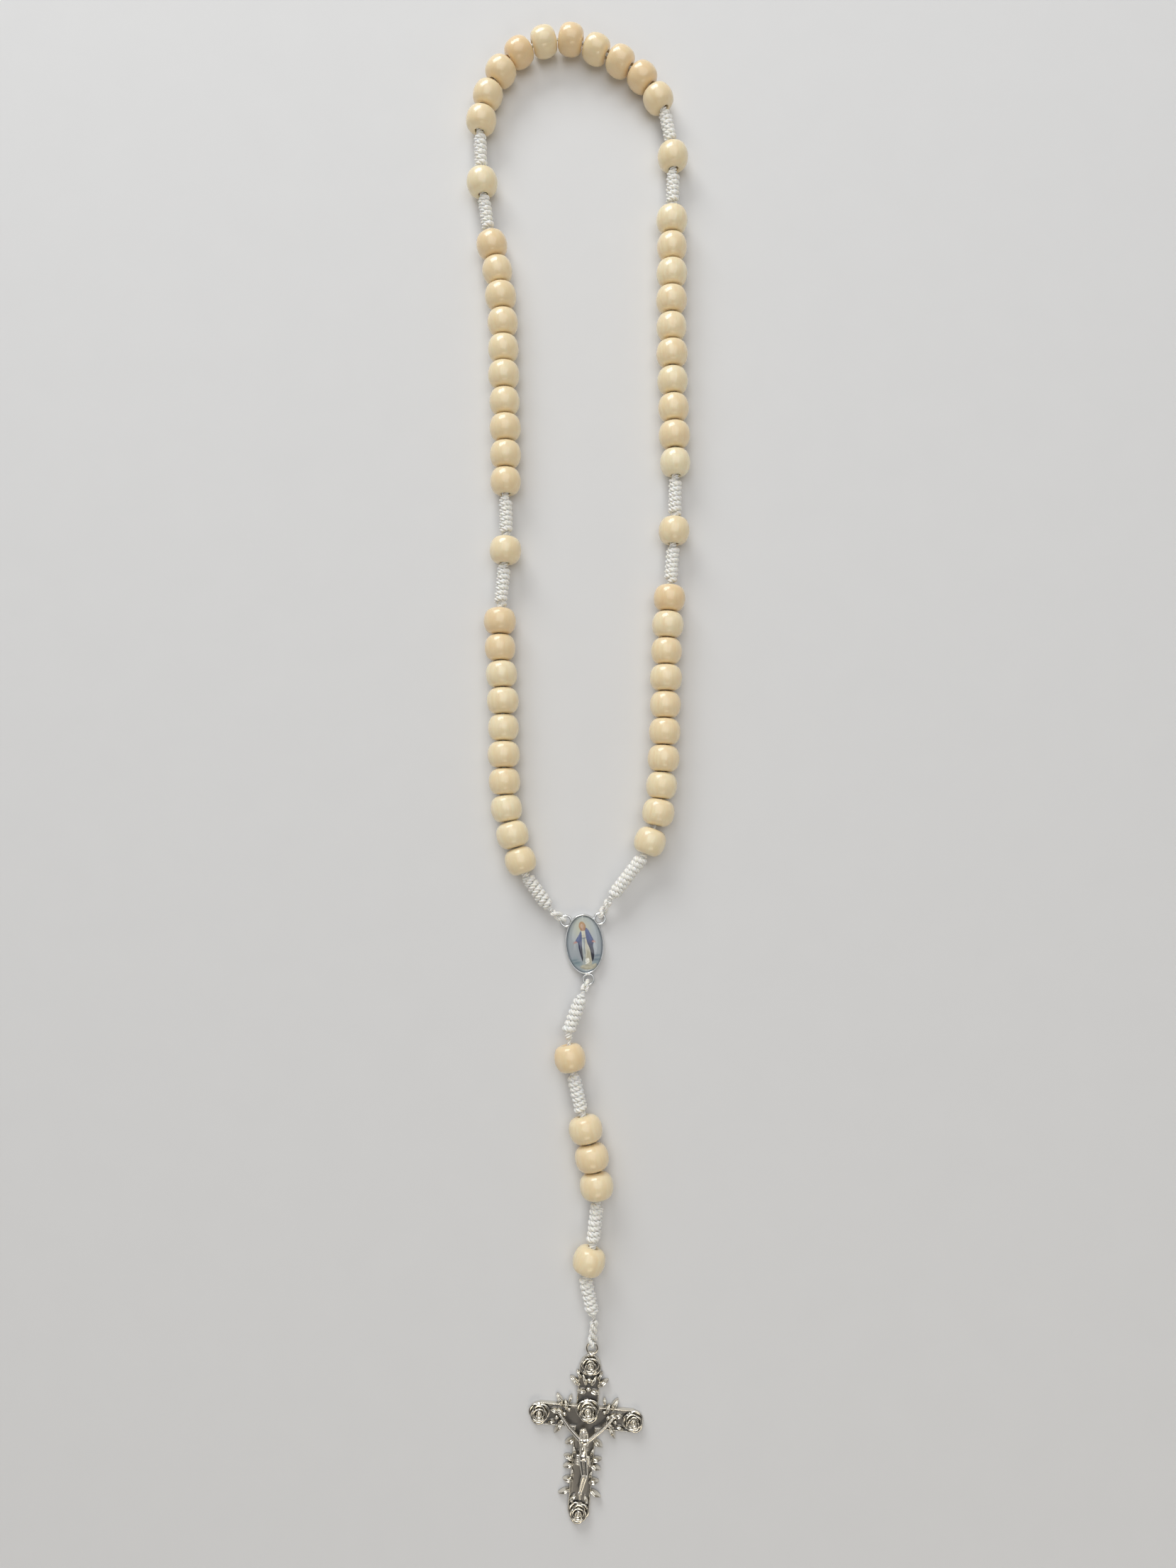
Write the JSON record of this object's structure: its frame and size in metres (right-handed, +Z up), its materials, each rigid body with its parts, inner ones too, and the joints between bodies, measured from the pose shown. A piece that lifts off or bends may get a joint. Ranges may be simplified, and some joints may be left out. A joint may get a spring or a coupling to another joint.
{
  "type": "rosary",
  "caption": "Corded rosary laid flat: barrel-shaped wooden beads held apart by wrapped cord knots, with an oval centre medal and a pendant that ends in a cast metal crucifix.",
  "frame": {"origin": "centre of the medal's back face, on the surface the rosary lies on", "axes": "+Z up from the surface, +Y from the crucifix up along the loop (the longest extent), +X to the right seen from above"},
  "size_m": [0.0614, 0.3998, 0.0088],
  "materials": {
    "bead_wood": "pale cream-tan hardwood, turned smooth and coated with clear gloss lacquer",
    "cord": "white satin nylon cord, three plies twisted, slight sheen",
    "silver_metal": "bright silver-tone casting with darkened recesses",
    "printed_picture": "printed picture, satin",
    "clear_dome": "clear glossy resin dome"
  },
  "bodies": {
    "lower_loop": {"left_medal_knot": "cord", "right_medal_knot": "cord", "decade_1_cord": "cord", "decade_5_cord": "cord", "knot_below_bead_1": "cord", "knot_below_bead_4": "cord"},
    "middle_loop": {"bead_1_cord": "cord", "knot_above_bead_1": "cord", "decade_2_cord": "cord", "knot_below_bead_2": "cord", "bead_4_cord": "cord", "knot_above_bead_4": "cord", "decade_4_cord": "cord", "knot_below_bead_3": "cord"},
    "top_loop": {"bead_2_cord": "cord", "knot_above_bead_2": "cord", "decade_3_cord": "cord", "knot_above_bead_3": "cord", "bead_3_cord": "cord"},
    "centre_medal": {"left_medal_loop": "cord", "right_medal_loop": "cord", "medal_frame": "silver_metal", "medal_picture": "printed_picture", "medal_dome": "clear_dome"},
    "drop_start": {"drop_loop": "cord", "drop_knot_1": "cord"},
    "drop_upper": {"drop_upper_cord": "cord", "drop_knot_2": "cord"},
    "drop_middle": {"drop_middle_cord": "cord", "drop_knot_3": "cord"},
    "drop_lower": {"drop_lower_cord": "cord", "drop_knot_4": "cord"},
    "drop_end": {"crucifix_loop": "cord"},
    "crucifix": {"crucifix_cross": "silver_metal", "corpus": "silver_metal"},
    "decade_1_run": {"decade_1_beads": "bead_wood"},
    "decade_2_run": {"decade_2_beads": "bead_wood"},
    "decade_3_run": {"decade_3_beads": "bead_wood"},
    "decade_4_run": {"decade_4_beads": "bead_wood"},
    "decade_5_run": {"decade_5_beads": "bead_wood"},
    "single_bead_1": {"our_father_bead_1": "bead_wood"},
    "single_bead_2": {"our_father_bead_2": "bead_wood"},
    "single_bead_3": {"our_father_bead_3": "bead_wood"},
    "single_bead_4": {"our_father_bead_4": "bead_wood"},
    "pendant_bead_1": {"drop_bead_1": "bead_wood"},
    "pendant_bead_2": {"drop_bead_2": "bead_wood"},
    "pendant_bead_3": {"drop_bead_3": "bead_wood"},
    "pendant_bead_4": {"drop_bead_4": "bead_wood"},
    "pendant_bead_5": {"drop_bead_5": "bead_wood"}
  },
  "joints": [
    {"name": "medal_fold", "type": "hinge", "parent": "lower_loop", "child": "centre_medal", "pos_m": [-0.00052, 0.01516, 0.00356], "axis": [-0.9849, -0.1732, 0.0008], "range_deg": [0, 60]},
    {"name": "loop_fold_lower", "type": "hinge", "parent": "lower_loop", "child": "middle_loop", "pos_m": [0.00068, 0.09808, 0.00405], "axis": [0.9919, 0.1269, 0], "range_deg": [0, 60]},
    {"name": "loop_fold_upper", "type": "hinge", "parent": "middle_loop", "child": "top_loop", "pos_m": [-0.00144, 0.20258, 0.00405], "axis": [0.9899, 0.142, 0], "range_deg": [0, 60]},
    {"name": "drop_lift", "type": "hinge", "parent": "centre_medal", "child": "drop_start", "pos_m": [0.00049, -0.01048, 0.0016], "axis": [-0.9313, 0.3643, 0], "range_deg": [0, 60]},
    {"name": "drop_swing", "type": "hinge", "parent": "drop_start", "child": "drop_upper", "pos_m": [-0.00221, -0.01736, 0.0033], "axis": [0, 0, 1], "range_deg": [-35, 35]},
    {"name": "three_bead_swing", "type": "hinge", "parent": "drop_upper", "child": "drop_middle", "pos_m": [-0.0018, -0.03823, 0.00405], "axis": [0, 0, -1], "range_deg": [-35, 35]},
    {"name": "last_bead_swing", "type": "hinge", "parent": "drop_middle", "child": "drop_lower", "pos_m": [0.00274, -0.07101, 0.00405], "axis": [0, 0, 1], "range_deg": [-35, 35]},
    {"name": "crucifix_swing", "type": "hinge", "parent": "drop_lower", "child": "drop_end", "pos_m": [0.00135, -0.08979, 0.00405], "axis": [0, 0, -1], "range_deg": [-35, 35]},
    {"name": "crucifix_lift", "type": "hinge", "parent": "drop_end", "child": "crucifix", "pos_m": [0.00205, -0.10149, 0.0016], "axis": [-0.9976, 0.0696, 0], "range_deg": [0, 90]},
    {"name": "single_bead_1_spin", "type": "hinge", "parent": "middle_loop", "child": "single_bead_1", "pos_m": [-0.02121, 0.10489, 0.00427], "axis": [0.0515, 0.9987, 0], "continuous": true},
    {"name": "single_bead_2_spin", "type": "hinge", "parent": "top_loop", "child": "single_bead_2", "pos_m": [-0.02821, 0.20793, 0.00429], "axis": [-0.0893, 0.996, 0], "continuous": true},
    {"name": "single_bead_3_spin", "type": "hinge", "parent": "top_loop", "child": "single_bead_3", "pos_m": [0.0243, 0.21541, 0.00424], "axis": [0.0543, -0.9985, 0], "continuous": true},
    {"name": "single_bead_4_spin", "type": "hinge", "parent": "middle_loop", "child": "single_bead_4", "pos_m": [0.02403, 0.11026, 0.00415], "axis": [-0.0563, -0.9984, 0], "continuous": true},
    {"name": "drop_bead_1_spin", "type": "hinge", "parent": "drop_upper", "child": "pendant_bead_1", "pos_m": [-0.00378, -0.02924, 0.00407], "axis": [0.201, -0.9796, 0], "continuous": true},
    {"name": "drop_bead_2_spin", "type": "hinge", "parent": "drop_middle", "child": "pendant_bead_2", "pos_m": [0.0003, -0.04729, 0.00437], "axis": [0.2382, -0.9712, 0], "continuous": true},
    {"name": "drop_bead_3_spin", "type": "hinge", "parent": "drop_middle", "child": "pendant_bead_3", "pos_m": [0.0019, -0.05441, 0.00441], "axis": [0.1952, -0.9808, 0], "continuous": true},
    {"name": "drop_bead_4_spin", "type": "hinge", "parent": "drop_middle", "child": "pendant_bead_4", "pos_m": [0.00311, -0.06155, 0.00437], "axis": [0.1068, -0.9943, 0], "continuous": true},
    {"name": "drop_bead_5_spin", "type": "hinge", "parent": "drop_lower", "child": "pendant_bead_5", "pos_m": [0.00118, -0.08031, 0.0042], "axis": [-0.3108, -0.9505, 0], "continuous": true},
    {"name": "decade_1_slide", "type": "slide", "parent": "lower_loop", "child": "decade_1_run", "axis": [-0.0902, 0.9959, 0.0027], "range_m": [-0.0003, 0.0003]},
    {"name": "decade_2_slide", "type": "slide", "parent": "middle_loop", "child": "decade_2_run", "axis": [-0.0618, 0.9981, 0.0017], "range_m": [-0.0003, 0.0003]},
    {"name": "decade_4_slide", "type": "slide", "parent": "middle_loop", "child": "decade_4_run", "axis": [0.0077, -1, -0.0027], "range_m": [-0.0003, 0.0003]},
    {"name": "decade_5_slide", "type": "slide", "parent": "lower_loop", "child": "decade_5_run", "axis": [-0.0842, -0.9965, -0.0011], "range_m": [-0.0003, 0.0003]},
    {"name": "decade_3_slide", "type": "hinge", "parent": "top_loop", "child": "decade_3_run", "pos_m": [-0.00426, 0.22444, 0.004], "axis": [0, 0, 1], "range_deg": [-0.7, 0.7]}
  ]
}
